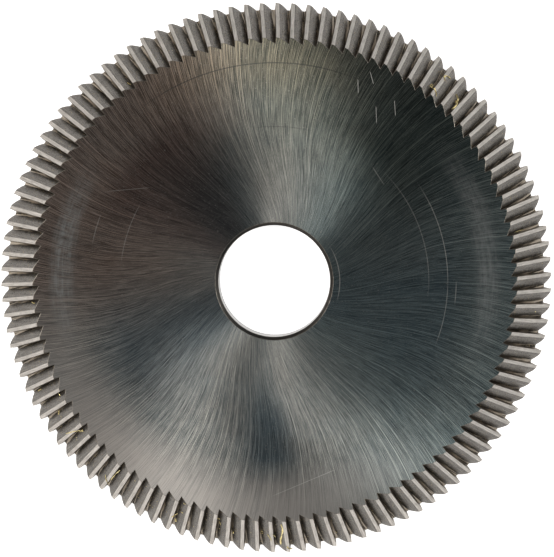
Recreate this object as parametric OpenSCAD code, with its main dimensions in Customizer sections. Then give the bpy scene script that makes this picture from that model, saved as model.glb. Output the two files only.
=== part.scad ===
// Single-angle cutter wheel of a key duplicating machine: one ground disc of tool steel with a plain
// bore and fine teeth along a bevelled rim, and the brass chips that have lodged between its teeth.
// Z is the bore axis. The flat back face lies on z = 0 and the bevelled side faces up.
// The tip of tooth 0 lies on +X. Seen from above, the cutting edges lead counter-clockwise.

/* [Disc] */
// Diameter over the tooth tips
cutter_d = 80; // [60:0.5:110]
// Thickness between the two clamp faces
thickness = 5; // [3:0.1:8]
// Diameter of the arbor bore
bore_d = 16; // [6:0.1:32]
// Chamfer at both ends of the bore
bore_chamfer = 0.45; // [0.1:0.05:1.5]

/* [Rim] */
// Angle of the bevel from the plane of the disc
bevel_angle = 41.8; // [35:0.1:50]
// Height of the tooth tips above the back face
tip_height = 0.3; // [0.1:0.05:0.6]
// Radial width of the relief cone around the back face
back_relief_width = 3; // [1:0.1:6]

/* [Teeth] */
// Number of teeth
tooth_count = 110; // [90:1:132]
// Width of the land behind each cutting edge
land_width = 0.54; // [0.4:0.01:0.65]
// Fall of the land behind the cutting edge, in degrees
land_relief = 7; // [4:0.5:12]
// Lean of each cutting edge across the bevel, tip first, in degrees
tooth_lean = 2.1; // [0:0.1:5]
// Draft of the wall below each cutting edge, in degrees
rake_draft = 10; // [2:0.5:16]

/* [Gullets] */
// Depth of the gullet floor, square to the bevel
floor_depth = 0.8; // [0.5:0.01:1]
// Slope of the tooth back at the outer end of the gullet, in degrees
back_slope = 33.5; // [28:0.5:45]
// Slope of the tooth back at the inner end of the gullet, in degrees
runout_slope = 25.5; // [18:0.5:27]
// Angle at which the inner slope rises out of the gullet, in degrees
runout_tilt = 2.1; // [1:0.1:5]

/* [Swarf] */
// Thickness of a brass chip
chip_thickness = 0.12; // [0.05:0.01:0.2]
// Gap between a chip and the steel around it
chip_clearance = 0.08; // [0.05:0.01:0.15]

/* [Hidden] */
$fn = 48;

tip_r = cutter_d / 2;
bore_r = bore_d / 2;
bevel_depth = thickness - tip_height;
bevel_length = bevel_depth / sin(bevel_angle);
back_relief_slope = tip_height / back_relief_width;
pitch_angle = 360 / tooth_count;
// Angle between the bevel's facets under two neighbouring teeth
facet_tilt = pitch_angle * sin(bevel_angle);
heel_depth = land_width * tan(land_relief);

// Steel left on the turned blank, which grinding the lands takes off
grinding_stock = 0.04;
// How far each cut runs past the steel that it removes
overrun = 2;
// Height of each cut above the bevel
cut_height = 1.4;
// Reach of each cut across the gullet
cut_reach = 3;
// How far a land's cut runs past its land on both sides
land_overrun = 0.35;

// Sets its children in the frame of one tooth: x leads along the rim, y stands square on the bevel,
// and z runs outwards along the cutting edge, with the tip at the origin.
module at_tooth(number)
    rotate([0, 0, number * pitch_angle])
        translate([tip_r, 0, tip_height])
            rotate([0, bevel_angle, 0])
                rotate([90, 0, 90])
                    rotate([0, tooth_lean, 0])
                        children();

// A straight cut along the bevel with the given section, from past its inner end to past the tip.
module cut_along(section)
    translate([0, 0, -bevel_length - overrun])
        linear_extrude(bevel_length + 2 * overrun)
            polygon(section);

// Everything above a line of the given slope through the origin, from x = -before to x = after.
function above_slope(slope, before, after) = [
    [-before, -before * tan(slope)],
    [after, after * tan(slope)],
    [after, cut_height],
    [-before, cut_height],
];

// Takes the land of one tooth down to its relief plane.
module land_cut(number)
    at_tooth(number)
        cut_along(above_slope(land_relief, land_width + land_overrun, land_overrun));

// The wall below a cutting edge, and the gullet floor in front of it.
module rake_and_floor()
    cut_along([
        [-cut_height * tan(rake_draft), cut_height],
        [floor_depth * tan(rake_draft), -floor_depth],
        [cut_reach, -floor_depth],
        [cut_reach, cut_height],
    ]);

// The back of a tooth, parallel to its own land.
module tooth_back()
    translate([-land_width, -heel_depth, 0])
        cut_along(above_slope(back_slope, cut_reach, land_width / 2));

// The shallower plane that rises inwards, closes the floor and meets the heel at the inner end.
module tooth_runout()
    translate([-land_width, -heel_depth, -bevel_length])
        rotate([runout_tilt, 0, 0])
            translate([0, 0, bevel_length])
                cut_along(above_slope(runout_slope, cut_reach, land_width / 2));

// The gullet between one tooth and the next.
module gullet_cut(number)
    intersection() {
        at_tooth(number) rake_and_floor();
        at_tooth(number + 1) tooth_back();
        at_tooth(number + 1) tooth_runout();
    }

// The turned disc: bore with chamfers, two clamp faces, relief cone and bevel.
module blank() {
    rim_r = tip_r + grinding_stock;
    rim_z = tip_height + grinding_stock * back_relief_slope;
    rotate_extrude()
        polygon([
            [bore_r, bore_chamfer],
            [bore_r + bore_chamfer, 0],
            [tip_r - back_relief_width, 0],
            [rim_r, rim_z],
            [rim_r - (thickness - rim_z) / tan(bevel_angle), thickness],
            [bore_r + bore_chamfer, thickness],
            [bore_r, thickness - bore_chamfer],
        ]);
}

module cutter_disc()
    color("dimgray")
        difference() {
            difference() {
                blank();
                for (number = [0:tooth_count - 1]) land_cut(number);
            }
            for (number = [0:tooth_count - 1]) gullet_cut(number);
        }

// Distance from a point in a gullet to the heel of the next tooth, at a station inwards from the tip.
function heel_gap(across, station) =
    (tip_r - station * cos(bevel_angle)) * pitch_angle * PI / 180 - land_width - across;
// Depth of the gullet there, below the bevel.
function gullet_depth(across, station) = min(
    floor_depth,
    heel_depth + heel_gap(across, station) * tan(back_slope - facet_tilt),
    heel_depth + heel_gap(across, station) * tan(runout_slope - facet_tilt)
        + (bevel_length - station) * tan(runout_tilt)
);

// Stands its children on the gullet bottom: x across, y up, z outwards along the gullet.
module in_gullet(number, station, width, half_length) {
    near_side = floor_depth * tan(rake_draft) + chip_clearance;
    depth = gullet_depth(near_side + width, station + half_length);
    at_tooth(number)
        translate([near_side + width / 2, chip_clearance - depth, -station])
            children();
}

// A flat chip that lies along the gullet.
module chip(number, station, length, width)
    in_gullet(number, station, width, length / 2)
        translate([-width / 2, 0, -length / 2])
            cube([width, chip_thickness, length]);

// A curled ribbon that stands on the gullet bottom, with its axis across the gullet.
module curl(number, station, radius, sweep, width)
    in_gullet(number, station, width, radius)
        translate([-width / 2, radius, 0])
            rotate([0, 90, 0])
                rotate([0, 0, -sweep / 2])
                    rotate_extrude(angle = sweep)
                        translate([radius - chip_thickness, 0])
                            square([chip_thickness, width]);

// Chips where the wheel has picked them up: gullet number, station from the tip, length and width.
chip_places = [
    [38, 6.2, 0.9, 0.20],
    [56, 6.4, 0.8, 0.22],
    [62, 2.6, 1.1, 0.26],
    [63, 4.9, 1.3, 0.18],
    [64, 3.8, 0.9, 0.24],
    [66, 5.6, 0.9, 0.22],
    [78, 4.8, 0.8, 0.20],
    [82, 3.7, 0.8, 0.20],
    [3, 5.2, 1.4, 0.08],
];

// Curls, in the same way: gullet number, station, radius, sweep in degrees and width.
curl_places = [
    [13, 4.0, 0.75, 150, 0.22],
    [14, 2.6, 0.42, 220, 0.20],
    [15, 5.4, 0.60, 140, 0.16],
    [79, 3.2, 0.38, 240, 0.26],
    [81, 4.1, 0.34, 200, 0.16],
    [82, 1.9, 0.40, 210, 0.20],
];

module brass_swarf()
    color("goldenrod") {
        for (c = chip_places) chip(c[0], c[1], c[2], c[3]);
        for (c = curl_places) curl(c[0], c[1], c[2], c[3], c[4]);
    }

cutter_disc();
brass_swarf();
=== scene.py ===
"""Key machine angle cutter wheel: its ground steel disc and the brass swarf between its teeth."""

import math
import random

import bmesh
import bpy
import numpy as np
from mathutils import Matrix, Vector


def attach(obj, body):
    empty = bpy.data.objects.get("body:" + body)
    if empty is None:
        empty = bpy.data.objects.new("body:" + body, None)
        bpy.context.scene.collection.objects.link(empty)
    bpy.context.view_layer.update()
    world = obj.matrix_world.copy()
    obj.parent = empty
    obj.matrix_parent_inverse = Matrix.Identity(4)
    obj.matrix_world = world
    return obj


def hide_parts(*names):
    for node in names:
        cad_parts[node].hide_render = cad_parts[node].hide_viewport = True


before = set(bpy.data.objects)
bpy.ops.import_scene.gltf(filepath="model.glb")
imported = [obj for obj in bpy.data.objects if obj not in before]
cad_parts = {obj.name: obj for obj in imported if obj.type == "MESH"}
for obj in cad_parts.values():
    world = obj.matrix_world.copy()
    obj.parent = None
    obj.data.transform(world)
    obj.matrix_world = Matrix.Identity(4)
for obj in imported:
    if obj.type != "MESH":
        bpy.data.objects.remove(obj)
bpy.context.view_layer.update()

MM = 0.001

# The disc, in millimetres and degrees, as in part.scad.
TIP_R = 40.0
THICKNESS = 5.0
BORE_R = 8.0
BORE_CHAMFER = 0.45
BEVEL = math.radians(41.8)
TIP_HEIGHT = 0.3
BACK_RELIEF_WIDTH = 3.0
TEETH = 110
LAND_WIDTH = 0.54
LAND_RELIEF = math.radians(7.0)
TOOTH_LEAN = math.radians(2.1)
RAKE_DRAFT = math.radians(10.0)
FLOOR_DEPTH = 0.8
BACK_SLOPE = math.radians(33.5)
RUNOUT_SLOPE = math.radians(25.5)
RUNOUT_TILT = math.radians(2.1)

PITCH = 2 * math.pi / TEETH
BEVEL_SIN = math.sin(BEVEL)
BEVEL_COS = math.cos(BEVEL)
BEVEL_LENGTH = (THICKNESS - TIP_HEIGHT) / BEVEL_SIN
RELIEF_RISE = TIP_HEIGHT / BACK_RELIEF_WIDTH

# Rays to the teeth start this far below the bevel, and fan out to the end surfaces over this share of it.
RAY_START = 1.7
RAY_FAN = 0.16
# This far along, a ray is just below the bevel.
UNDER_BEVEL = 1.5
# The distance to a plane that a ray never meets.
FAR = 9.0
BISECTIONS = 44


# ---- The ground surfaces of the teeth ----


def unit(v):
    return v / np.linalg.norm(v, axis=-1, keepdims=True)


def direction(azimuth, from_up):
    """The unit vector at an azimuth and an angle from straight up, in degrees."""
    a, u = math.radians(azimuth), math.radians(from_up)
    return Vector((math.sin(u) * math.cos(a), math.sin(u) * math.sin(a), math.cos(u)))


def new_object(name, data):
    made = bpy.data.objects.new(name, data)
    bpy.context.scene.collection.objects.link(made)
    return made


class Teeth:
    """The planes that the grinding wheel leaves on each tooth, with a little spread from tooth to
    tooth. Arrays run over teeth first."""

    def __init__(self, seed):
        rng = np.random.default_rng(seed)
        spread = lambda size: rng.uniform(-size, size, TEETH)
        self.land_width = LAND_WIDTH + spread(0.022)
        self.floor = FLOOR_DEPTH + spread(0.03)
        self.back = BACK_SLOPE + spread(math.radians(0.8))
        self.runout = RUNOUT_SLOPE + spread(math.radians(0.5))

    def local(self, number, v):
        """A direction in the frame of each given tooth, turned into the frame of the part."""
        a = number * PITCH
        c, s, zero = np.cos(a), np.sin(a), np.zeros_like(a)
        along = np.stack([-s, c, zero], -1)
        normal = np.stack([BEVEL_SIN * c, BEVEL_SIN * s, zero + BEVEL_COS], -1)
        outward = np.stack([BEVEL_COS * c, BEVEL_COS * s, zero - BEVEL_SIN], -1)
        lean_x = math.cos(TOOTH_LEAN) * along - math.sin(TOOTH_LEAN) * outward
        lean_z = math.cos(TOOTH_LEAN) * outward + math.sin(TOOTH_LEAN) * along
        x, y, z = (np.broadcast_to(c, a.shape)[..., None] for c in v)
        return lean_x * x + normal * y + lean_z * z

    def tip(self, number):
        a = number * PITCH
        return np.stack([TIP_R * np.cos(a), TIP_R * np.sin(a), np.full_like(a, TIP_HEIGHT)], -1)

    def plane(self, number, normal, point):
        """A plane by its normal and one point, both in the frame of the tooth."""
        n = self.local(number, normal)
        return n, ((self.tip(number) + self.local(number, point)) * n).sum(-1)

    def planes(self):
        """The planes between the edge of tooth i and the edge of tooth i + 1."""
        number = np.arange(TEETH)
        i = number.astype(float)
        j = i + 1
        ahead = (number + 1) % TEETH
        width = self.land_width[ahead]
        heel = width * math.tan(LAND_RELIEF)
        land = (-math.sin(LAND_RELIEF), math.cos(LAND_RELIEF), 0)
        back, runout = self.back[ahead], self.runout[ahead]
        tilt = RUNOUT_TILT
        return {
            "land_i": self.plane(i, land, (0, 0, 0)),
            "land_j": self.plane(j, land, (0, 0, 0)),
            "rake": self.plane(i, (math.cos(RAKE_DRAFT), math.sin(RAKE_DRAFT), 0), (0, 0, 0)),
            "floor": self.plane(i, (0, 1, 0), (0, -self.floor, 0)),
            "back": self.plane(j, (-np.sin(back), np.cos(back), 0), (-width, -heel, 0)),
            "runout": self.plane(
                j,
                (-np.sin(runout), np.cos(runout) * math.cos(tilt), np.cos(runout) * math.sin(tilt)),
                (-width, -heel, -BEVEL_LENGTH),
            ),
        }


def guide(station):
    """A ray in the (r, z) plane for each station: 0 is on the relief cone, 1 is on the top face, and
    between them the rays stand square on the bevel."""
    w = np.asarray(station, float)
    bevel_dir = np.array([-BEVEL_COS, BEVEL_SIN])
    normal = np.array([BEVEL_SIN, BEVEL_COS])
    rim = np.array([TIP_R, TIP_HEIGHT])
    on_bevel = rim + bevel_dir * (w * BEVEL_LENGTH)[:, None]
    relief = unit(np.array([1.0, RELIEF_RISE]))
    level = np.array([1.0, 0.0])
    low = np.clip(1 - w / RAY_FAN, 0, 1)[:, None] ** 1.5
    high = np.clip(1 - (1 - w) / RAY_FAN, 0, 1)[:, None] ** 1.5
    direction = unit(normal * (1 - low) * (1 - high) + relief * low + level * high)
    return on_bevel - direction * RAY_START, direction


def ray(rays, azimuth):
    """Origins and directions of the rays when they are turned to an azimuth."""
    c, s = np.cos(azimuth), np.sin(azimuth)
    turned = lambda v: np.stack([v[..., 0] * c, v[..., 0] * s, np.broadcast_to(v[..., 1], c.shape)], -1)
    return turned(rays[0]), turned(rays[1])


def hit(plane, origin, way):
    """Distance along each ray to a plane."""
    n, c = plane
    n, c = n[:, None, :], c[:, None]
    return (c - (origin * n).sum(-1)) / (way * n).sum(-1)


def depths(planes, rays, azimuth):
    """Distance along each ray to every plane. A ray that starts beyond the rake wall has passed it."""
    origin, way = ray(rays, azimuth)
    t = {name: hit(p, origin, way) for name, p in planes.items()}
    n, c = planes["rake"]
    facing = (way * n[:, None, :]).sum(-1)
    beyond = (origin * n[:, None, :]).sum(-1) > c[:, None]
    ahead = np.where(facing > 0, t["rake"], FAR)
    t["rake"] = np.where(beyond, -FAR, ahead)
    return t


def surface(planes, rays, azimuth):
    """The points where rays leave the steel between the edges of teeth i and i + 1."""
    t = depths(planes, rays, azimuth)
    gullet = np.maximum.reduce([t["rake"], t["floor"], t["back"], t["runout"]])
    origin, way = ray(rays, azimuth)
    return origin + way * np.minimum(t["land_j"], gullet)[..., None]


def crossing(planes, rays, low, high, sign):
    """The azimuth at which sign(t) turns from negative to positive, between low and high."""
    low, high = low.copy(), high.copy()
    for _ in range(BISECTIONS):
        middle = (low + high) / 2
        above = sign(depths(planes, rays, middle)) > 0
        high = np.where(above, middle, high)
        low = np.where(above, low, middle)
    return (low + high) / 2


def creases(planes, rays):
    """Azimuths of the edge, rake foot, floor end, ridge, heel and next edge, for teeth x stations."""
    count = rays[0].shape[0]
    base = np.broadcast_to((np.arange(TEETH) * PITCH)[:, None], (TEETH, count))
    near = 0.3 * PITCH
    edge = crossing(planes, rays, base - near, base + near, lambda t: t["land_i"] - t["rake"])
    ahead = np.roll(edge, -1, 0)
    ahead[-1] += 2 * math.pi
    slopes = lambda t: np.maximum(t["back"], t["runout"])
    foot = crossing(
        planes, rays, edge, edge + 0.5 * PITCH,
        lambda t: np.maximum(t["floor"], slopes(t)) - t["rake"],
    )
    floor_end = crossing(planes, rays, foot, ahead, lambda t: slopes(t) - t["floor"])
    heel = crossing(planes, rays, foot, ahead, lambda t: slopes(t) - t["land_j"])
    ridge = crossing(planes, rays, floor_end, heel, lambda t: t["back"] - t["runout"])
    return edge, foot, floor_end, ridge, heel, ahead


# Columns of the mesh across one tooth: crease it starts from, share of the way to the next one,
# and an offset in millimetres along the rim, which rounds the crease.
COLUMNS = [
    (0, 0.0, 0.005), (0, 0.55, 0.0), (1, 0.0, -0.006),
    (1, 0.0, 0.04), (1, 0.5, 0.0), (2, 0.0, -0.06),
    (2, 0.0, 0.06), (2, 0.5, 0.0), (3, 0.0, 0.0),
    (3, 0.35, 0.0), (3, 0.7, 0.0), (4, 0.0, -0.012),
    (4, 0.0, 0.012), (4, 0.5, 0.0), (5, 0.0, -0.014),
]
WALL, FLOOR, SLOPE, LAND, TOP, EDGE, BORE, CHAMFER, BACK, RELIEF = range(10)
COLUMN_PART = [WALL] * 2 + [FLOOR] * 4 + [SLOPE] * 6 + [LAND] * 2 + [EDGE]
STATIONS = [0, 0.004, 0.02, 0.045, 0.08, 0.12, 0.17, 0.24, 0.32, 0.4, 0.48, 0.56, 0.64, 0.72, 0.8,
            0.87, 0.92, 0.955, 0.98, 0.992, 1]
# Width of the broken edge round the flat face.
TOP_BREAK = 0.03
# How far the backs of the teeth stand proud of their planes, halfway up and at the rim.
CROWN = 0.10
# Half the height of the rounding at the edges of the bore.
BORE_BREAK = 0.035


def tooth_rings(teeth):
    """Points of the toothed bevel as stations x columns around the rim, from the relief cone in,
    with the millimetres past the edge and the share of the way from the rake foot to the heel."""
    planes = teeth.planes()
    rays = guide(STATIONS)
    lines = creases(planes, rays)
    radius = rays[0][:, 0] + rays[1][:, 0] * UNDER_BEVEL
    edge, foot, floor_end, _, heel, _ = lines
    crown = CROWN * (1 - np.array(STATIONS)) ** 0.5
    columns, past, shares = [], [], []
    for crease, share, offset in COLUMNS:
        start = lines[crease]
        end = lines[min(crease + 1, 5)]
        azimuth = start + (end - start) * share + offset / radius
        low, high = lines[max(crease - 1, 0)], end
        if offset < 0:
            azimuth = np.maximum(azimuth, (low + start) / 2)
        elif offset > 0:
            azimuth = np.minimum(azimuth, (start + high) / 2)
        up_back = np.clip((azimuth - floor_end) / (heel - floor_end), 0, 1)
        proud = crown * 4 * up_back * (1 - up_back) if 2 <= crease <= 4 else 0 * azimuth
        way = ray(rays, azimuth)[1]
        columns.append(surface(planes, rays, azimuth) + way * proud[..., None])
        past.append((azimuth - edge) * radius)
        shares.append((azimuth - foot) / (heel - foot))
    size = (len(STATIONS), TEETH * len(COLUMNS), -1)
    rows = lambda values: np.stack(values, 2).swapaxes(0, 1).reshape(size)
    return rows(columns), rows(past)[..., 0], rows(shares)[..., 0]


def inset(loop, distance, same=1e-5, sharpest=0.55):
    """A closed outline moved inwards by a distance, with its sharp corners held in."""
    new = np.linalg.norm(loop - np.roll(loop, 1, 0), axis=-1) > same
    kept = loop[new]
    one, two = unit(kept - np.roll(kept, 1, 0)), unit(np.roll(kept, -1, 0) - kept)
    left = lambda v: np.stack([-v[:, 1], v[:, 0]], -1)
    way = unit(left(one) + left(two))
    cos_half = np.maximum((way * left(one)).sum(-1, keepdims=True), sharpest)
    return (kept + way * distance / cos_half)[np.cumsum(new) - 1]


def outline():
    """The turned surfaces from the flat face through the bore to the relief cone, as radius, height,
    part of the face before it, and how evenly the points lie round the ring."""
    low, high = BORE_R, BORE_R + BORE_CHAMFER
    fine, less = BORE_BREAK, 0.7 * BORE_BREAK
    flat_edge = TIP_R - BACK_RELIEF_WIDTH
    face = ((33.2, 0.3), (31, 0.7), (27, 1), (21, 1), (15, 1), (11, 1), (9.2, 1), (high + fine, 1))
    back = ((12.0, 1), (20.0, 1), (28.0, 1), (34.0, 0.6), (flat_edge - 0.03, 0.2))
    return [
        *[(r, THICKNESS, TOP, even) for r, even in face],
        (high - less, THICKNESS - fine, EDGE, 1),
        (low + less, THICKNESS - BORE_CHAMFER + fine, CHAMFER, 1),
        (low, THICKNESS - BORE_CHAMFER - fine, EDGE, 1),
        (low, THICKNESS / 2, BORE, 1),
        (low, BORE_CHAMFER + fine, BORE, 1),
        (low + less, BORE_CHAMFER - fine, EDGE, 1),
        (high - less, fine, CHAMFER, 1),
        (high + fine, 0, EDGE, 1),
        *[(r, 0, BACK, even) for r, even in back],
        (flat_edge + 0.04, 0.04 * RELIEF_RISE, EDGE, 0.2),
        (flat_edge + 0.6, 0.6 * RELIEF_RISE, RELIEF, 0),
    ]


def disc_mesh(teeth):
    """The whole disc as rings of points around Z, joined by quads, with a part number per face, and
    the coordinates of the toothed rings for the materials."""
    rings, past, shares = tooth_rings(teeth)
    rings = list(rings)
    count = len(rings[0])
    # The edge round the flat face is broken, so it catches the light as a fine line.
    last, near = rings[-1], rings[-2]
    gap = np.linalg.norm(near - last, axis=-1, keepdims=True)
    step = (near - last) * np.minimum(TOP_BREAK / np.maximum(gap, 1e-6), 0.6)
    top = last.copy()
    top[:, :2] = inset(last[:, :2], TOP_BREAK)
    rings[-1] = last + step
    parts = [np.array(COLUMN_PART * TEETH)] * (len(rings) - 1)
    rings.append(top)
    parts.append(np.full(count, EDGE))
    azimuth = np.unwrap(np.arctan2(top[:, 1], top[:, 0]))
    even = azimuth[0] + np.arange(count) * 2 * math.pi / count

    rim = np.hypot(top[:, 0], top[:, 1])
    inner = rim.min() - 0.12
    rows = [((rim + inner) / 2, THICKNESS, TOP, 0), (inner, THICKNESS, TOP, 0), *outline()]
    for r, z, part, evenly in rows:
        turn = azimuth * (1 - evenly) + even * evenly
        rings.append(np.stack([r * np.cos(turn), r * np.sin(turn), np.full(count, z)], -1))
        parts.append(np.full(count, part))
    parts.append(np.full(count, RELIEF))
    return rings, parts, past, shares


def map_teeth(mesh, points, count, past, shares):
    """Two coordinate maps on the teeth. Marks: millimetres past the edge, a new stretch for each tooth,
    and in from the rim. Gullet: shares of the way across the gullet and in from the rim."""
    inward = np.repeat(np.array(STATIONS)[:, None], count, 1)
    stretch = np.repeat(np.arange(TEETH) * 5.0, len(COLUMNS))
    corner = np.zeros(len(mesh.loops), np.int32)
    mesh.loops.foreach_get("vertex_index", corner)
    for name, u, v in (("marks", past + stretch, inward * BEVEL_LENGTH), ("gullet", shares, inward)):
        flat = np.zeros((points, 2))
        flat[: u.size] = np.stack([u.ravel(), v.ravel()], -1)
        flat[u.size : u.size + count] = flat[u.size - count : u.size]
        mesh.uv_layers.new(name=name).uv.foreach_set("vector", flat[corner].ravel().astype(np.float32))


def clean(mesh):
    """Merges points that coincide, and removes the slivers that this leaves on two edges of their
    neighbours."""
    shape = bmesh.new()
    shape.from_mesh(mesh)
    bmesh.ops.remove_doubles(shape, verts=shape.verts, dist=2e-6)
    bmesh.ops.dissolve_degenerate(shape, edges=shape.edges, dist=1e-6)
    flaps = [f for f in shape.faces if any(e.is_boundary for e in f.edges)]
    bmesh.ops.delete(shape, geom=flaps, context="FACES")
    bmesh.ops.recalc_face_normals(shape, faces=shape.faces)
    shape.to_mesh(mesh)
    shape.free()


def build_disc(teeth, materials):
    """The disc object, from rings of quads."""
    rings, parts, past, shares = disc_mesh(teeth)
    count = len(rings[0])
    points = np.concatenate(rings) * MM
    around = np.arange(count)
    beside = (around + 1) % count
    faces = []
    for k in range(len(parts)):
        a, b = k * count, (k + 1) % len(rings) * count
        faces.append(np.stack([a + around, a + beside, b + beside, b + around], -1))
    faces = np.concatenate(faces)
    numbers = np.concatenate(parts)
    mesh = bpy.data.meshes.new("toothed_disc")
    mesh.from_pydata(points.tolist(), [], faces.tolist())
    for material in materials:
        mesh.materials.append(material)
    mesh.polygons.foreach_set("material_index", numbers.astype(np.int32))
    mesh.polygons.foreach_set("use_smooth", np.ones(len(faces), bool))
    map_teeth(mesh, len(points), count, past, shares)
    clean(mesh)
    mesh.set_sharp_from_angle(angle=math.radians(14))
    return new_object("toothed_disc", mesh)


# ---- Materials ----


class Net:
    """The node tree of a new material or world, with one short call for each kind of node."""

    def __init__(self, name, kind=bpy.data.materials, shader="Principled BSDF"):
        self.owner = kind.new(name)
        self.owner.use_nodes = True
        self.tree = self.owner.node_tree
        self.shader = self.tree.nodes[shader]

    def put(self, socket, value):
        if isinstance(value, bpy.types.NodeSocket):
            self.tree.links.new(value, socket)
        elif isinstance(value, tuple) and len(value) == 3 and socket.type == "RGBA":
            socket.default_value = (*value, 1)
        else:
            socket.default_value = value

    def node(self, kind, settings=None, **inputs):
        made = self.tree.nodes.new(kind)
        for key, value in (settings or {}).items():
            setattr(made, key, value)
        for key, value in inputs.items():
            self.put(made.inputs[key.replace("_", " ")], value)
        return made

    def feed(self, made, values, out=0):
        for socket, value in zip(made.inputs, values):
            self.put(socket, value)
        return made.outputs[out]

    def math(self, operation, *values, clamp=False):
        made = self.node("ShaderNodeMath", {"operation": operation, "use_clamp": clamp})
        return self.feed(made, values)

    def vector(self, operation, *values, out=0):
        return self.feed(self.node("ShaderNodeVectorMath", {"operation": operation}), values, out)

    def combine(self, x=0.0, y=0.0, z=0.0):
        return self.node("ShaderNodeCombineXYZ", X=x, Y=y, Z=z).outputs[0]

    def noise(self, vector, scale=1.0, detail=2.0, roughness=0.5, distortion=0.0):
        values = {"Scale": scale, "Detail": detail, "Roughness": roughness, "Distortion": distortion}
        return self.node("ShaderNodeTexNoise", Vector=vector, **values).outputs["Fac"]

    def span(self, value, low, high, to_low=0.0, to_high=1.0, smooth=False):
        way = "SMOOTHSTEP" if smooth else "LINEAR"
        made = self.node("ShaderNodeMapRange", {"interpolation_type": way})
        return self.feed(made, (value, low, high, to_low, to_high))

    def mix(self, factor, one, two, blend="MIX"):
        made = self.node("ShaderNodeMix", {"data_type": "RGBA", "blend_type": blend}, Factor=factor)
        colours = [s for s in made.inputs if s.type == "RGBA"]
        self.put(colours[0], one)
        self.put(colours[1], two)
        return [s for s in made.outputs if s.type == "RGBA"][0]

    def bump(self, height, depth, strength):
        return self.node("ShaderNodeBump", Height=height, Distance=depth, Strength=strength).outputs[0]

    def finish(self, colour, roughness, normal=None, metallic=1.0, anisotropy=0.0, tangent=None):
        values = {
            "Base Color": colour, "Roughness": roughness, "Metallic": metallic,
            "Anisotropic": anisotropy, "Normal": normal, "Tangent": tangent,
        }
        for name, value in values.items():
            if value is not None:
                self.put(self.shader.inputs[name], value)
        return self.owner


def times(net, *values):
    total = values[0]
    for value in values[1:]:
        total = net.math("MULTIPLY", total, value)
    return total


def add(net, *values):
    total = values[0]
    for value in values[1:]:
        total = net.math("ADD", total, value)
    return total


class Polar:
    """The disc's own coordinates in a material: millimetres, the radius and the azimuth."""

    def __init__(self, net):
        place = net.node("ShaderNodeTexCoord").outputs["Object"]
        self.mm = net.vector("SCALE", place)
        self.mm.node.inputs["Scale"].default_value = 1 / MM
        split = net.node("ShaderNodeSeparateXYZ", Vector=self.mm)
        self.x, self.y, self.z = split.outputs
        self.r = net.math("SQRT", add(net, times(net, self.x, self.x), times(net, self.y, self.y)))
        self.azimuth = net.math("ARCTAN2", self.y, self.x)


def grinding_marks(net, polar, straight_r=24.5, inner=0.055, outer=0.015):
    """Azimuth and tangent of the swirled radial marks that a cup wheel leaves. They run straight out at
    one radius, and bend by degrees per square millimetre on both sides of it."""
    inside = net.math("SUBTRACT", straight_r, polar.r)
    low, high = straight_r - 0.01, straight_r + 0.01
    bend = net.span(polar.r, low, high, math.radians(inner), math.radians(outer))
    azimuth = add(net, polar.azimuth, times(net, bend, times(net, inside, inside)))
    # A mark turns by this much for each millimetre outwards.
    slope = times(net, bend, inside, 2.0)
    back = net.math("DIVIDE", times(net, polar.y, -1.0), polar.r)
    x = net.math("SUBTRACT", back, times(net, polar.x, slope))
    y = net.math("SUBTRACT", net.math("DIVIDE", polar.x, polar.r), times(net, polar.y, slope))
    return azimuth, net.vector("NORMALIZE", net.combine(x, y, 0.0))


def streaks(net, azimuth, r, fineness, length, detail=3.0, roughness=0.6):
    """Noise drawn out along the marks, without a seam."""
    x = times(net, net.math("COSINE", azimuth), fineness)
    y = times(net, net.math("SINE", azimuth), fineness)
    return net.noise(net.combine(x, y, times(net, r, 1 / length)), 1.0, detail, roughness)


def band(net, value, centre, width, soft=0.5):
    """1 within half the width of the centre, and 0 outside it."""
    away = net.math("ABSOLUTE", net.math("SUBTRACT", value, centre))
    return net.span(away, width / 2 * (1 - soft), width / 2 * (1 + soft), 1.0, 0.0, smooth=True)


def sector(net, polar, middle, half, soft):
    """1 in a sector of the disc, in degrees, and 0 past its soft ends."""
    a = math.radians(middle)
    x = times(net, net.math("DIVIDE", polar.x, polar.r), math.cos(a))
    y = times(net, net.math("DIVIDE", polar.y, polar.r), math.sin(a))
    away = net.math("ARCCOSINE", net.math("MINIMUM", add(net, x, y), 0.999999))
    start, end = math.radians(half - soft / 2), math.radians(half + soft / 2)
    return net.span(away, start, end, 1.0, 0.0, smooth=True)


# Scratches on the flat face: (azimuth, radius) at both ends in degrees and mm, then strength.
FACE_SCRATCHES = [
    (52.3, 29.3, 54.8, 30.9, 1.0), (61.8, 31.5, 63.8, 32.8, 0.9), (64.4, 29.4, 65.9, 31.1, 0.8),
    (55.6, 26.9, 58.2, 28.8, 0.8), (40.0, 20.9, 47.5, 21.5, 0.4), (141.8, 22.4, 150.0, 27.0, 0.25),
    (268.6, 30.8, 285.9, 28.5, 0.4),
]
# Rubbed arcs: radius, middle and half width of the azimuth, strength.
FACE_ARCS = [
    (24.8, 14.0, 15.0, 0.8), (24.8, 348.0, 9.0, 0.5), (22.1, 18.0, 20.0, 0.5),
    (22.1, 160.0, 10.0, 0.3), (9.4, 6.0, 20.0, 0.8), (26.6, 162.0, 4.0, 0.35), (26.0, 355.0, 3.0, 0.6),
]


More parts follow.
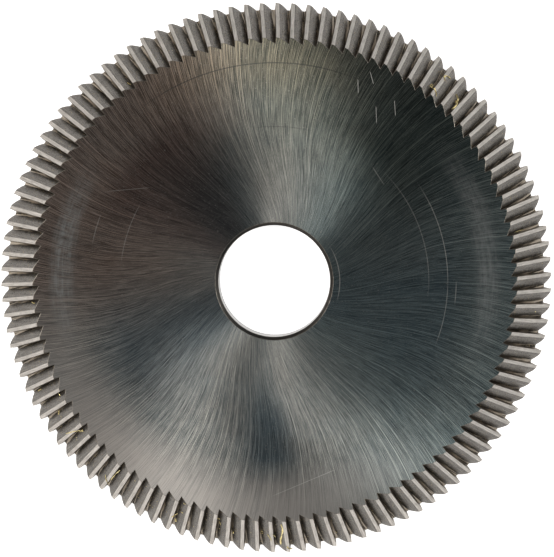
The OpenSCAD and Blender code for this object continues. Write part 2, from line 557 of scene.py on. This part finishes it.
# Painted reflection tints and painted shade in sectors of the flat face: middle, half width and softness
# of the azimuth, two radii, the strength inside the first and outside the second, and the tint.
FACE_PAINTED_REFLECTIONS = [
    (94.0, 26.0, 30.0, 25.0, 31.0, 0.0, 1.0, (1.0, 0.92, 0.82)),
    (122.0, 20.0, 28.0, 16.0, 27.0, 1.0, 0.15, (0.42, 0.50, 0.55)),
    (137.0, 20.0, 24.0, 25.0, 29.0, 1.0, 0.0, (0.66, 0.59, 0.59)),
    (66.0, 40.0, 44.0, 10.0, 24.0, 0.0, 0.9, (0.56, 0.56, 0.50)),
    (2.0, 66.0, 50.0, 0.0, 8.0, 0.8, 0.8, (0.58, 0.74, 0.80)),
    (345.0, 24.0, 34.0, 25.0, 30.0, 1.0, 0.0, (0.60, 0.65, 0.70)),
    (207.0, 20.0, 34.0, 23.0, 29.0, 1.0, 0.0, (0.56, 0.63, 0.70)),
]


def scratch(net, polar, a0, r0, a1, r1, width=0.07):
    """A straight scratch between two points given by azimuth and radius."""
    p, q = direction(a0, 90) * r0, direction(a1, 90) * r1
    way = (q - p).normalized()
    from_p = net.vector("SUBTRACT", polar.mm, p)
    across = net.vector("DOT_PRODUCT", from_p, Vector((-way.y, way.x, 0)), out="Value")
    along = net.vector("DOT_PRODUCT", from_p, way, out="Value")
    length = (q - p).length
    return times(net, band(net, across, 0.0, width), band(net, along, length / 2, length, 0.15))


def face_scratches(net, polar, fine):
    """All the scratches and rubbed arcs of the flat face."""
    marks = 0.0
    for *ends, strength in FACE_SCRATCHES:
        marks = net.math("MAXIMUM", marks, times(net, scratch(net, polar, *ends), strength))
    worn_through = net.span(fine, 0.35, 0.6, 0.3, 1.0)
    for r, middle, half, strength in FACE_ARCS:
        arc = sector(net, polar, middle, half, half * 0.8)
        one = times(net, band(net, polar.r, r, 0.10, 0.7), arc, strength, worn_through)
        marks = net.math("MAXIMUM", marks, one)
    return marks


def painted_face_light(net, polar, azimuth, colour, fine, pale_marks):
    """Painted light over the colour of the flat face: a painted highlight on one side of the rim, painted
    reflection tints and shade in sectors, and a painted dark wedge.
    """
    # A painted highlight makes one side of the rim pale, and its deepest marks less.
    painted_rim_highlight = times(net, sector(net, polar, 248.0, 50.0, 50.0), net.span(polar.r, 26.0, 32.0),
                   net.span(fine, 0.38, 0.60, 0.52, 0.98))
    colour = net.mix(painted_rim_highlight, colour, (0.40, 0.375, 0.355))
    # A painted brown reflection darkens one side, towards the rim, with paler marks through it.
    painted_brown_reflection = times(net, sector(net, polar, 146.0, 40.0, 34.0), net.span(polar.r, 9.0, 24.0, 0.3, 1.0))
    colour = net.mix(painted_brown_reflection, colour, (0.72, 0.53, 0.46), "MULTIPLY")
    colour = net.mix(times(net, painted_brown_reflection, pale_marks, 0.45), colour, (0.27, 0.26, 0.25))
    # Painted reflection tints and painted shade, one sector at a time.
    for middle, half, soft, r_in, r_out, inside, outside, tint in FACE_PAINTED_REFLECTIONS:
        painted_tint = times(net, sector(net, polar, middle, half, soft),
                      net.span(polar.r, r_in, r_out, inside, outside))
        colour = net.mix(painted_tint, colour, tint, "MULTIPLY")
    # A painted dark reflection in a wedge, which follows the swirl of the marks.
    painted_dark_wedge = times(net, band(net, azimuth, math.radians(-93.0), math.radians(16.0), 0.8),
                  net.span(polar.r, 12.0, 20.0), net.span(polar.r, 25.5, 29.5, 1.0, 0.0))
    return net.mix(painted_dark_wedge, colour, (0.40, 0.48, 0.55), "MULTIPLY")


def worn_band(net, polar, fine):
    """Two lengths of a band near the rim, which a seat has rubbed in fine rings."""
    right, left = sector(net, polar, 8.0, 22.0, 26.0), sector(net, polar, 172.0, 17.0, 24.0)
    where = net.math("MAXIMUM", right, left)
    rings = net.combine(times(net, polar.r, 6.0), times(net, polar.x, 0.25), times(net, polar.y, 0.25))
    return times(
        net, band(net, polar.r, 30.6, 2.7, 0.75), where,
        net.span(net.noise(polar.mm, 1.3, 3.0, 0.6), 0.34, 0.6, 0.3, 1.0),
        net.span(net.noise(rings, 1.0, 2.0, 0.6), 0.38, 0.62, 0.6, 1.3),
        net.span(fine, 0.40, 0.62, 0.75, 1.15),
    )


def dark_circles(net, polar):
    """Two thin circles that something on the arbor has drawn."""
    outer = times(net, band(net, polar.r, 31.15, 0.14, 0.6), sector(net, polar, 95.0, 26.0, 16.0))
    inner = times(net, band(net, polar.r, 22.1, 0.12, 0.6), sector(net, polar, 86.0, 9.0, 8.0))
    return net.math("MAXIMUM", outer, times(net, inner, 0.6))


def ground_face(name, marks_seed, scratched):
    """A clamp face: fine cup-wheel marks, whose long lines are painted bright as glints, rubbed bands and
    flecks, and on the front its scratches, with a painted highlight, painted reflections and painted
    shade."""
    net = Net(name)
    polar = Polar(net)
    azimuth, tangent = grinding_marks(net, polar)
    shifted = add(net, azimuth, marks_seed)
    hair = streaks(net, shifted, polar.r, 560.0, 2.6, 2.0, 0.7)
    fine = streaks(net, shifted, polar.r, 470.0, 9.0, 2.0, 0.7)
    long = streaks(net, shifted, polar.r, 620.0, 70.0, 0.0)
    broad = streaks(net, shifted, polar.r, 14.0, 16.0, 2.0, 0.5)
    clouds = net.noise(polar.mm, 0.11, 3.0, 0.55, 0.6)
    grain = net.noise(polar.mm, 6.5, 2.0, 0.65)

    bright_fine = net.span(fine, 0.52, 0.76, 0.0, 0.8)
    bright_hair = net.span(hair, 0.49, 0.67, 0.0, 0.9)
    bright = net.math("ADD", bright_fine, bright_hair, clamp=True)
    deep = net.span(hair, 0.46, 0.32, 0.0, 0.85)
    # Painted highlight: the long grinding lines are painted bright, as glints.
    lines = net.span(long, 0.69, 0.76, 0.0, 0.8)
    ground = net.mix(net.span(clouds, 0.36, 0.64), (0.112, 0.132, 0.138), (0.140, 0.143, 0.138))
    ground = net.mix(net.span(broad, 0.35, 0.65, 0.0, 0.3), ground, (0.085, 0.092, 0.096))
    ground = net.mix(deep, ground, (0.04, 0.042, 0.044))
    colour = net.mix(bright, ground, (0.42, 0.42, 0.395))
    colour = net.mix(lines, colour, (0.74, 0.71, 0.64))
    if scratched:
        # The painted highlight, painted reflections and painted shade of the front face.
        colour = painted_face_light(net, polar, azimuth, colour, fine, net.math("MAXIMUM", bright, lines))
    worn = worn_band(net, polar, fine)
    colour = net.mix(times(net, worn, 0.55), colour, (0.42, 0.44, 0.44))
    flecks = net.span(net.noise(polar.mm, 4.0, 2.0, 0.6), 0.62, 0.70, 0.0, 0.30)
    colour = net.mix(flecks, colour, (0.42, 0.41, 0.38))
    colour = net.mix(times(net, dark_circles(net, polar), 0.75), colour, (0.05, 0.05, 0.05))
    rough = add(net, net.span(bright, 0.0, 1.0, 0.345, 0.41), net.span(grain, 0.3, 0.7, -0.02, 0.03))
    if scratched:
        marks = face_scratches(net, polar, fine)
        colour = net.mix(marks, colour, (0.80, 0.79, 0.76))
        rough = add(net, rough, times(net, marks, 0.25))
    rough = add(net, rough, times(net, worn, 0.16))
    height = add(net, times(net, hair, 0.5), times(net, fine, 0.7), times(net, grain, 0.2))
    normal = net.bump(height, 0.004 * MM, 0.6)
    return net.finish(colour, rough, normal, anisotropy=0.88, tangent=tangent)


class ToothPlace:
    """Where a point lies on its tooth: millimetres past the edge and in from the rim, and the shares of
    the way from the rake foot to the heel and from the rim to the flat face."""

    def __init__(self, net):
        marks = net.node("ShaderNodeUVMap", {"uv_map": "marks"}).outputs[0]
        gullet = net.node("ShaderNodeUVMap", {"uv_map": "gullet"}).outputs[0]
        self.past, self.along, _ = net.node("ShaderNodeSeparateXYZ", Vector=marks).outputs
        self.across, self.inward, _ = net.node("ShaderNodeSeparateXYZ", Vector=gullet).outputs

    def lines(self, net, fine, length, slant=0.0, detail=3.0):
        """Marks that run down the bevel, with a slant across it."""
        u = add(net, times(net, self.past, fine), times(net, self.along, slant))
        return net.noise(net.combine(u, times(net, self.along, 1 / length)), 1.0, detail, 0.62)


def land_steel():
    """The bright lands: marks along the edge, with a warm cast and worn, slightly ragged sides."""
    net = Net("ground_land")
    polar = Polar(net)
    place = ToothPlace(net)
    lines = place.lines(net, 9.0, 2.4)
    blotch = net.noise(polar.mm, 1.1, 3.0, 0.6)
    grain = net.noise(polar.mm, 14.0, 2.0, 0.6)
    colour = net.mix(net.span(lines, 0.34, 0.68), (0.41, 0.385, 0.355), (0.71, 0.668, 0.622))
    colour = net.mix(net.span(blotch, 0.5, 0.72, 0.0, 0.4), colour, (0.33, 0.29, 0.26))
    rough = net.span(grain, 0.3, 0.7, 0.36, 0.5)
    height = add(net, times(net, lines, 0.7), times(net, grain, 0.35))
    return net.finish(colour, rough, net.bump(height, 0.006 * MM, 0.6))


def painted_gullet_shade(net, place, ragged):
    """Painted shade in the bottom of the gullet, which reaches further up its inner half."""
    edge = net.span(place.inward, 0.0, 1.0, 0.21, 0.525)
    edge = add(net, edge, net.span(ragged, 0.3, 0.7, -0.12, 0.12))
    return net.span(net.math("SUBTRACT", edge, place.across), -0.16, 0.26, 0.0, 1.0, smooth=True)


def gullet_lines(net, polar, place):
    """Colour and height of the lines that the wheel drew down the gullet, tan with brass dust, with
    painted shade darkening its inner part.
    """
    lines = place.lines(net, 3.6, 7.0, 0.45, 1.0)
    dust = net.noise(polar.mm, 4.2, 3.0, 0.65)
    grain = net.noise(polar.mm, 13.0, 2.0, 0.6)
    colour = net.mix(net.span(lines, 0.42, 0.56), (0.020, 0.017, 0.014), (0.50, 0.44, 0.37))
    colour = net.mix(net.span(dust, 0.54, 0.68, 0.0, 0.6), colour, (0.46, 0.36, 0.20))
    colour = net.mix(net.span(grain, 0.6, 0.72, 0.0, 0.5), colour, (0.08, 0.065, 0.05))
    # Painted shade: the inner part of the gullet is darkened to near black.
    inner = net.span(place.inward, 0.55, 0.85, 0.0, 0.85, smooth=True)
    return net.mix(inner, colour, (0.022, 0.019, 0.016)), lines


def back_steel():
    """The dark, fine-grained backs of the teeth, with marks along the gullet and painted shade in the
    bottom of the gullet.
    """
    net = Net("ground_back_slope")
    polar = Polar(net)
    place = ToothPlace(net)
    lines = place.lines(net, 7.0, 3.0)
    grain = net.noise(polar.mm, 11.0, 3.0, 0.7)
    ragged = net.noise(polar.mm, 1.6, 3.0, 0.6)
    specks = net.noise(polar.mm, 5.5, 1.0, 0.5)
    pits = net.noise(polar.mm, 6.4, 2.0, 0.75)
    colour = net.mix(net.span(lines, 0.32, 0.7), (0.125, 0.117, 0.109), (0.27, 0.256, 0.24))
    colour = net.mix(net.span(grain, 0.49, 0.64, 0.0, 0.62), colour, (0.40, 0.375, 0.345))
    colour = net.mix(net.span(pits, 0.54, 0.62, 0.0, 0.72), colour, (0.065, 0.06, 0.055))
    # Painted shade: the bottom of the gullet is darkened to near black, further up its inner half.
    colour = net.mix(times(net, painted_gullet_shade(net, place, ragged), 0.84), colour, (0.034, 0.029, 0.024))
    bottom, _ = gullet_lines(net, polar, place)
    up = add(net, place.across, net.span(ragged, 0.3, 0.7, -0.03, 0.03))
    colour = net.mix(net.span(up, 0.15, 0.20, 1.0, 0.0), colour, bottom)
    colour = net.mix(net.span(specks, 0.68, 0.72, 0.0, 0.6), colour, (0.45, 0.34, 0.17))
    rough = net.span(grain, 0.3, 0.7, 0.42, 0.60)
    height = add(net, times(net, lines, 0.6), times(net, grain, 0.7))
    return net.finish(colour, rough, net.bump(height, 0.012 * MM, 0.8))


def floor_steel():
    """The gullet floors: tan steel and brass dust, in lines, with painted shade in their inner part."""
    net = Net("gullet_floor")
    polar = Polar(net)
    place = ToothPlace(net)
    colour, lines = gullet_lines(net, polar, place)
    grain = net.noise(polar.mm, 9.0, 2.0, 0.6)
    metal = net.span(grain, 0.45, 0.65, 0.9, 0.6)
    rough = net.span(grain, 0.3, 0.7, 0.42, 0.6)
    height = add(net, lines, times(net, grain, 0.4))
    return net.finish(colour, rough, net.bump(height, 0.016 * MM, 0.8), metallic=metal)


def wall_steel():
    """The rake walls under the cutting edges, where swarf has rubbed."""
    net = Net("rake_wall")
    polar = Polar(net)
    place = ToothPlace(net)
    rub = place.lines(net, 14.0, 2.0)
    grain = net.noise(polar.mm, 12.0, 2.0, 0.6)
    colour = net.mix(net.span(rub, 0.36, 0.64), (0.07, 0.057, 0.046), (0.34, 0.29, 0.24))
    colour = net.mix(net.span(grain, 0.6, 0.7, 0.0, 0.4), colour, (0.5, 0.38, 0.2))
    rough = net.span(grain, 0.3, 0.7, 0.4, 0.55)
    return net.finish(colour, rough, net.bump(add(net, rub, grain), 0.008 * MM, 0.5))


def edge_steel():
    """The broken edges, dull where they are clean and brighter where they rub."""
    net = Net("broken_edge")
    polar = Polar(net)
    wear = net.noise(polar.mm, 2.0, 3.0, 0.6)
    colour = net.mix(net.span(wear, 0.35, 0.62), (0.13, 0.12, 0.105), (0.34, 0.31, 0.27))
    rough = net.span(wear, 0.3, 0.7, 0.58, 0.44)
    return net.finish(colour, rough, net.bump(wear, 0.006 * MM, 0.4))


def turned_steel(name, dark, light, roughness):
    """Turned surfaces of revolution: fine rings round the axis."""
    net = Net(name)
    polar = Polar(net)
    x = times(net, net.math("COSINE", polar.azimuth), 0.8)
    y = times(net, net.math("SINE", polar.azimuth), 0.8)
    rings = net.noise(net.combine(times(net, add(net, polar.r, polar.z), 9.0), x, y), 1.0, 3.0, 0.65)
    blotch = net.noise(polar.mm, 0.7, 3.0, 0.6)
    grain = net.noise(polar.mm, 9.0, 2.0, 0.6)
    colour = net.mix(net.span(rings, 0.35, 0.66), dark, light)
    colour = net.mix(net.span(blotch, 0.5, 0.7, 0.0, 0.4), colour, tuple(c * 0.6 for c in dark))
    rough = add(net, net.span(grain, 0.3, 0.7, -0.04, 0.05), roughness)
    height = add(net, rings, times(net, grain, 0.4))
    return net.finish(colour, rough, net.bump(height, 0.006 * MM, 0.6))


def brass():
    """Freshly cut brass: bright along the cut, torn and darker at the sides."""
    net = Net("cut_brass")
    polar = Polar(net)
    torn = net.noise(polar.mm, 6.0, 3.0, 0.6)
    fine = net.noise(polar.mm, 22.0, 2.0, 0.6)
    colour = net.mix(net.span(torn, 0.36, 0.62), (0.60, 0.47, 0.18), (0.90, 0.78, 0.42))
    colour = net.mix(net.span(fine, 0.6, 0.75, 0.0, 0.5), colour, (0.38, 0.29, 0.11))
    rough = net.span(fine, 0.3, 0.7, 0.22, 0.42)
    return net.finish(colour, rough, net.bump(add(net, torn, fine), 0.012 * MM, 0.7))


# ---- The swarf ----

CURL_THICKNESS = 0.05
SLIVER_THICKNESS = 0.04
THREAD_THICKNESS = 0.05
# How far the middle of a thread lies above the steel, and the lowest that it goes, from the bevel.
THREAD_LOFT = 0.03
THREAD_LOWEST = -0.25
SPECKS = 150


class Rim:
    """Finds points on the toothed bevel: by gullet, distance past its edge and station, which is the
    distance in from the rim, in millimetres."""

    def __init__(self, teeth):
        self.planes = teeth.planes()

    def place(self, gullet, across, station):
        """Point, and frame of the bevel there: along the rim, up from the bevel and outwards."""
        n = gullet % TEETH
        planes = {k: (a[n:n + 1], b[n:n + 1]) for k, (a, b) in self.planes.items()}
        r = TIP_R - station * BEVEL_COS
        lean = math.sin(TOOTH_LEAN) * station / r
        azimuth = n * PITCH + across / r - lean
        point = surface(planes, guide([station / BEVEL_LENGTH]), np.full((1, 1), azimuth))[0, 0]
        c, s = math.cos(azimuth), math.sin(azimuth)
        up = (BEVEL_SIN * c, BEVEL_SIN * s, BEVEL_COS)
        out = (BEVEL_COS * c, BEVEL_COS * s, -BEVEL_SIN)
        return Vector(point), Matrix(((-s, c, 0), up, out)).transposed()

    def over(self, azimuth, station):
        """Point on the teeth over an azimuth in radians, and the way up from the bevel there."""
        r = TIP_R - station * BEVEL_COS
        lean = math.sin(TOOTH_LEAN) * station / r
        number = math.floor((azimuth + lean) / PITCH)
        point, axes = self.place(number, (azimuth - number * PITCH + lean) * r, station)
        return point, axes @ Vector((0, 1, 0))


def bevel_point(azimuth, station):
    """The point of the bevel cone at an azimuth and station."""
    r = TIP_R - station * BEVEL_COS
    return Vector((r * math.cos(azimuth), r * math.sin(azimuth), TIP_HEIGHT + station * BEVEL_SIN))


def ribbon(shape, centres, widths, sides, thickness):
    """A slightly bowed strip of metal along its centre points, with a width and a side at each."""
    rows = []
    for k, centre in enumerate(centres):
        ahead = centres[min(k + 1, len(centres) - 1)] - centres[max(k - 1, 0)]
        side = sides[k].normalized()
        up = ahead.cross(side).normalized()
        half, rise = side * widths[k] / 2, up * thickness / 2
        bow = up * widths[k] * 0.10
        corners = (-half - rise, -rise + bow, half - rise, half + rise, rise + bow, -half + rise)
        rows.append([shape.verts.new((centre + c) * MM) for c in corners])
    for one, two in zip(rows, rows[1:]):
        for k in range(6):
            shape.faces.new((one[k], one[(k + 1) % 6], two[(k + 1) % 6], two[k]))
    for row in (rows[0], rows[-1]):
        shape.faces.new(row if row is rows[-1] else row[::-1])


def curl(shape, rng, point, axes, radius, turns, width, heading, closing):
    """A curled chip: a spiral strip that stands on the gullet, with its axis across or aslant."""
    steps = max(8, int(turns * 22))
    turn = Matrix.Rotation(heading, 3, "Y")
    start = rng.uniform(2.6, 3.6)
    centres, widths, sides = [], [], []
    for k in range(steps + 1):
        share = k / steps
        angle = start + share * turns * 2 * math.pi
        r = radius * (1 - closing * share)
        drift = (share - 0.5) * width * 1.3 * turns
        local = Vector((drift, radius * 1.02 - r * math.cos(angle), r * math.sin(angle)))
        centres.append(point + axes @ (turn @ local))
        ends = min(1.0, 5 * share + 0.25, 5 * (1 - share) + 0.35)
        widths.append(width * ends * rng.uniform(0.86, 1.08))
        sides.append(axes @ (turn @ Vector((1, 0.12 * math.sin(3 * angle), 0))))
    ribbon(shape, centres, widths, sides, CURL_THICKNESS)


def sliver(shape, rng, point, axes, length, width, heading, rise):
    """A straight or slightly bent chip that lies along the gullet."""
    steps = 10
    bend = 0.25
    turn = Matrix.Rotation(heading, 3, "Y")
    wave = rng.uniform(-1, 1)
    centres, widths, sides = [], [], []
    for k in range(steps + 1):
        s = k / steps - 0.5
        local = Vector((bend * length * (s * s) * wave, 0.05 + rise * (s + 0.5), s * length))
        centres.append(point + axes @ (turn @ local))
        widths.append(width * (1 - 1.6 * s * s) * rng.uniform(0.75, 1.1))
        sides.append(axes @ (turn @ Vector((1, 0.5 * s * wave, 0))))
    ribbon(shape, centres, widths, sides, SLIVER_THICKNESS)


def speck(shape, rng, point, axes, size):
    """A torn crumb of brass."""
    before = set(shape.verts)
    bmesh.ops.create_icosphere(shape, subdivisions=1, radius=1)
    turn = rng.uniform(0, 6.28)
    spin = Matrix.Rotation(turn, 3, Vector((rng.random(), rng.random(), 0.3)).normalized())
    stretch = Matrix.Diagonal((rng.uniform(0.5, 1.6), rng.uniform(0.25, 0.5), rng.uniform(0.5, 1.3)))
    for v in [v for v in shape.verts if v not in before]:
        away = spin @ (stretch @ (v.co * rng.uniform(0.7, 1.2)))
        v.co = (point + axes @ (away * size / 2 + Vector((0, size * 0.2, 0)))) * MM


def curve(stops, count):
    """Points on a smooth curve through the stops, which are azimuths in degrees and stations."""
    knots = [Vector((math.radians(a), s)) for a, s in stops]
    knots = [2 * knots[0] - knots[1], *knots, 2 * knots[-1] - knots[-2]]
    path = []
    for k in range(count + 1):
        at = k / count * (len(knots) - 3)
        i = min(int(at), len(knots) - 4)
        t, (a, b, c, d) = at - i, knots[i:i + 4]
        path.append(0.5 * (2 * b + (c - a) * t + (2 * a - 5 * b + 4 * c - d) * t * t
                           + (3 * b - a - 3 * c + d) * t * t * t))
    return path


def thread(shape, rng, rim, stops, width):
    """A long thin chip that lies over the teeth, through the stops, on what is highest under it."""
    count = 30
    path = [(a, max(s, 0.12)) for a, s in curve(stops, count)]
    under = [rim.over(a, s) for a, s in path]
    nominal = [bevel_point(a, s) for a, s in path]
    near = lambda values, k: values[max(0, k - 3):k + 4]
    heights = [(p - n).dot(up) for (p, up), n in zip(under, nominal)]
    highest = [max(near(heights, k)) for k in range(count + 1)]
    smooth = [sum(near(highest, k)) / len(near(highest, k)) for k in range(count + 1)]
    lifts = [max(h, THREAD_LOWEST) + THREAD_LOFT for h in smooth]
    centres = [n + up * lift for n, lift, (_, up) in zip(nominal, lifts, under)]
    widths, sides = [], []
    for k, (_, up) in enumerate(under):
        ahead = (centres[min(k + 1, count)] - centres[max(k - 1, 0)]).normalized()
        twist = Matrix.Rotation(0.7 * math.sin(k * 0.35 + stops[0][0]), 3, ahead)
        sides.append(twist @ up.cross(ahead).normalized())
        ends = min(1.0, 6 * k / count + 0.3, 6 * (1 - k / count) + 0.3)
        widths.append(width * ends * rng.uniform(0.8, 1.15))
    ribbon(shape, centres, widths, sides, THREAD_THICKNESS)


# Threads that lie over the teeth: width, then azimuth and station of each point on them.
THREADS = [
    (0.17, (48.0, 3.1), (48.7, 2.6), (48.2, 2.1), (47.3, 1.9)),
    (0.12, (50.1, 5.7), (49.0, 5.7), (48.0, 6.0), (47.2, 6.5)),
    (0.22, (44.3, 3.4), (43.3, 3.8), (42.6, 4.6), (42.4, 5.5), (42.6, 6.2)),
    (0.24, (270.0, 6.4), (270.3, 5.1), (270.0, 3.7), (269.7, 2.6), (269.7, 1.6)),
    (0.20, (270.9, 1.3), (271.5, 0.8), (272.1, 0.5)),
    (0.11, (266.7, 4.0), (267.3, 3.5), (267.7, 2.8)), (0.10, (268.0, 4.2), (268.6, 3.3)),
    (0.10, (214.8, 3.0), (215.2, 4.1), (215.6, 5.2), (216.5, 6.3)),
    (0.12, (229.3, 6.1), (229.1, 4.6), (229.1, 2.7)), (0.09, (227.4, 3.1), (228.5, 2.4), (229.4, 2.0)),
    (0.15, (244.9, 3.2), (245.4, 3.7), (245.9, 4.3)), (0.14, (216.2, 6.2), (216.8, 6.3)),
    (0.12, (206.1, 6.3), (206.8, 6.5)), (0.10, (246.2, 7.0), (246.8, 6.9)),
    (0.10, (246.5, 4.8), (247.0, 4.8)), (0.13, (255.0, 6.1), (255.6, 6.0)),
]
# Curls down in the gullets: gullet, distance past the edge, station, radius, turns, width, heading,
# and the share by which the radius closes.
CURLS = [
    (15, 0.55, 5.4, 0.30, 1.1, 0.10, 0.6, 0.3), (13, 0.5, 4.4, 0.28, 0.9, 0.10, 0.2, 0.3),
    (81, 0.45, 4.1, 0.24, 1.0, 0.10, 0.9, 0.3), (79, 0.45, 3.2, 0.22, 1.3, 0.12, 0.2, 0.5),
]
# Slivers: gullet, distance past the edge, station, length, width, heading, rise.
SLIVERS = [
    (38, 0.5, 6.2, 0.8, 0.12, 0.3, 0.1), (56, 0.5, 6.4, 0.6, 0.14, -0.4, 0.1),
    (62, 0.55, 2.3, 0.8, 0.16, 0.15, 0.15), (64, 0.5, 3.8, 0.7, 0.22, 0.8, 0.15),
    (66, 0.5, 5.6, 0.6, 0.12, -0.3, 0.1), (75, 0.45, 2.0, 0.6, 0.30, 0.4, 0.1),
    (78, 0.5, 4.8, 0.7, 0.10, 0.5, 0.15), (3, 0.35, 5.2, 1.7, 0.06, 0.05, 0.1),
]


def build_swarf(teeth, material):
    """The swarf object: curls, threads, slivers and specks, in this order."""
    rng = random.Random(7)
    rim = Rim(teeth)
    shape = bmesh.new()
    for gullet, across, station, radius, turns, width, heading, closing in CURLS:
        point, axes = rim.place(gullet, across, station)
        curl(shape, rng, point, axes, radius, turns, width, heading, closing)
    for width, *stops in THREADS:
        thread(shape, rng, rim, stops, width)
    for gullet, across, station, length, width, heading, rise in SLIVERS:
        point, axes = rim.place(gullet, across, station)
        sliver(shape, rng, point, axes, length, width, heading, rise)
    # Two specks in three lie at the side where the wheel has picked up most.
    for k in range(SPECKS):
        gullet = int(rng.gauss(76, 9)) if k % 3 else rng.randrange(TEETH)
        point, axes = rim.place(gullet, rng.uniform(0.2, 1.2), rng.uniform(1.3, 6.6))
        point += axes @ Vector((0, 0.06, 0))
        speck(shape, rng, point, axes, rng.choice((0.05, 0.07, 0.09, 0.14)) * rng.uniform(0.8, 1.2))
    mesh = bpy.data.meshes.new("brass_swarf_chips")
    bmesh.ops.recalc_face_normals(shape, faces=shape.faces)
    shape.to_mesh(mesh)
    shape.free()
    mesh.polygons.foreach_set("use_smooth", np.ones(len(mesh.polygons), bool))
    mesh.set_sharp_from_angle(angle=math.radians(40))
    mesh.materials.append(material)
    return new_object("brass_swarf_chips", mesh)


# ---- Camera, floor and lights ----


def place_camera():
    """The photo's view: nearly straight down, from about 31 cm, with the disc filling the frame."""
    distance = 311.9
    aim = Vector((0.345, 0.250, 2.5))
    back = direction(59.86, 3.644)
    up = direction(88.426, 90)
    up = (up - back * up.dot(back)).normalized()
    right = up.cross(back)
    data = bpy.data.cameras.new("camera")
    data.lens = 140.54
    data.sensor_width = 36
    data.sensor_fit = "HORIZONTAL"
    data.clip_start = 0.01
    data.clip_end = 20
    camera = new_object("camera", data)
    spin = Matrix((right, up, back)).transposed().to_4x4()
    camera.matrix_world = Matrix.Translation((aim + back * distance) * MM) @ spin
    bpy.context.scene.camera = camera


# The room's colours, and the power of its lights in watts.
ROOM_LEFT = (0.11, 0.092, 0.085)
ROOM_RIGHT = (0.05, 0.068, 0.078)
ROOM_LOW = (0.36, 0.34, 0.315)
ROOM_PALE = (0.80, 0.78, 0.75)
LIGHT_COLOUR = (1.0, 0.975, 0.93)
RIGHT_POWER = 2.4
LEFT_POWER = 2.75
# Both lights, in degrees and metres.
LIGHT_FROM_UP = 44
LIGHT_DISTANCE = 0.75
LIGHT_SIZE = (0.20, 0.30)


def softbox(name, azimuth, power):
    """A soft light that faces the disc from the given side."""
    way = direction(azimuth, LIGHT_FROM_UP)
    data = bpy.data.lights.new(name, "AREA")
    data.shape = "RECTANGLE"
    data.size, data.size_y = LIGHT_SIZE
    data.energy = power
    data.color = LIGHT_COLOUR
    light = new_object(name, data)
    turn = way.to_track_quat("Z", "Y").to_matrix().to_4x4()
    light.matrix_world = Matrix.Translation(way * LIGHT_DISTANCE) @ turn


def build_floor():
    """A plain white table that glows a little, as a light table does."""
    shape = bmesh.new()
    bmesh.ops.create_grid(shape, x_segments=8, y_segments=8, size=3.0)
    mesh = bpy.data.meshes.new("floor")
    shape.to_mesh(mesh)
    shape.free()
    net = Net("white_table")
    net.finish((0.86, 0.86, 0.86), 0.9, metallic=0.0)
    net.put(net.shader.inputs["Emission Color"], (1.0, 1.0, 1.0))
    net.put(net.shader.inputs["Emission Strength"], 0.8)
    net.put(net.shader.inputs["Specular IOR Level"], 0.0)
    mesh.materials.append(net.owner)
    floor = new_object("floor", mesh)
    floor.location.z = -0.00002


def light_studio():
    """Two soft lights at the sides, and a dim room: brown to the left, blue to the right, and paler
    towards the lower left."""
    net = Net("studio", bpy.data.worlds, "Background")
    bpy.context.scene.world = net.owner
    way = net.node("ShaderNodeTexCoord").outputs["Generated"]

    def lobe(azimuth, from_up, low, high):
        dot = net.vector("DOT_PRODUCT", way, direction(azimuth, from_up), out="Value")
        return net.span(dot, low, high, smooth=True)

    side = net.mix(lobe(0, 90, -0.25, 0.25), ROOM_LEFT, ROOM_RIGHT)
    low = net.mix(lobe(245, 80, 0.45, 0.95), side, ROOM_LOW)
    net.put(net.shader.inputs["Color"], net.mix(lobe(243, 40, 0.80, 0.89), low, ROOM_PALE))
    net.put(net.shader.inputs["Strength"], 1.0)
    softbox("light_right", 11, RIGHT_POWER)
    softbox("light_left", 164, LEFT_POWER)
    bpy.context.scene.view_settings.view_transform = "Standard"


# ---- The scene ----

place_camera()
build_floor()
light_studio()

surfaces = [None] * (RELIEF + 1)
surfaces[WALL] = wall_steel()
surfaces[FLOOR] = floor_steel()
surfaces[SLOPE] = back_steel()
surfaces[LAND] = land_steel()
surfaces[TOP] = ground_face("ground_clamp_face", 0.0, True)
surfaces[EDGE] = edge_steel()
surfaces[BORE] = turned_steel("bore_steel", (0.20, 0.195, 0.19), (0.44, 0.43, 0.42), 0.34)
surfaces[CHAMFER] = turned_steel("chamfer_steel", (0.05, 0.047, 0.044), (0.15, 0.14, 0.13), 0.42)
surfaces[BACK] = ground_face("ground_back_face", 1.3, False)
surfaces[RELIEF] = turned_steel("relief_steel", (0.22, 0.215, 0.21), (0.45, 0.44, 0.43), 0.36)

teeth = Teeth(seed=3)
disc = build_disc(teeth, surfaces)
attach(disc, "root")
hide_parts("cutter_disc")

swarf = build_swarf(teeth, brass())
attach(swarf, "root")
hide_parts("brass_swarf")
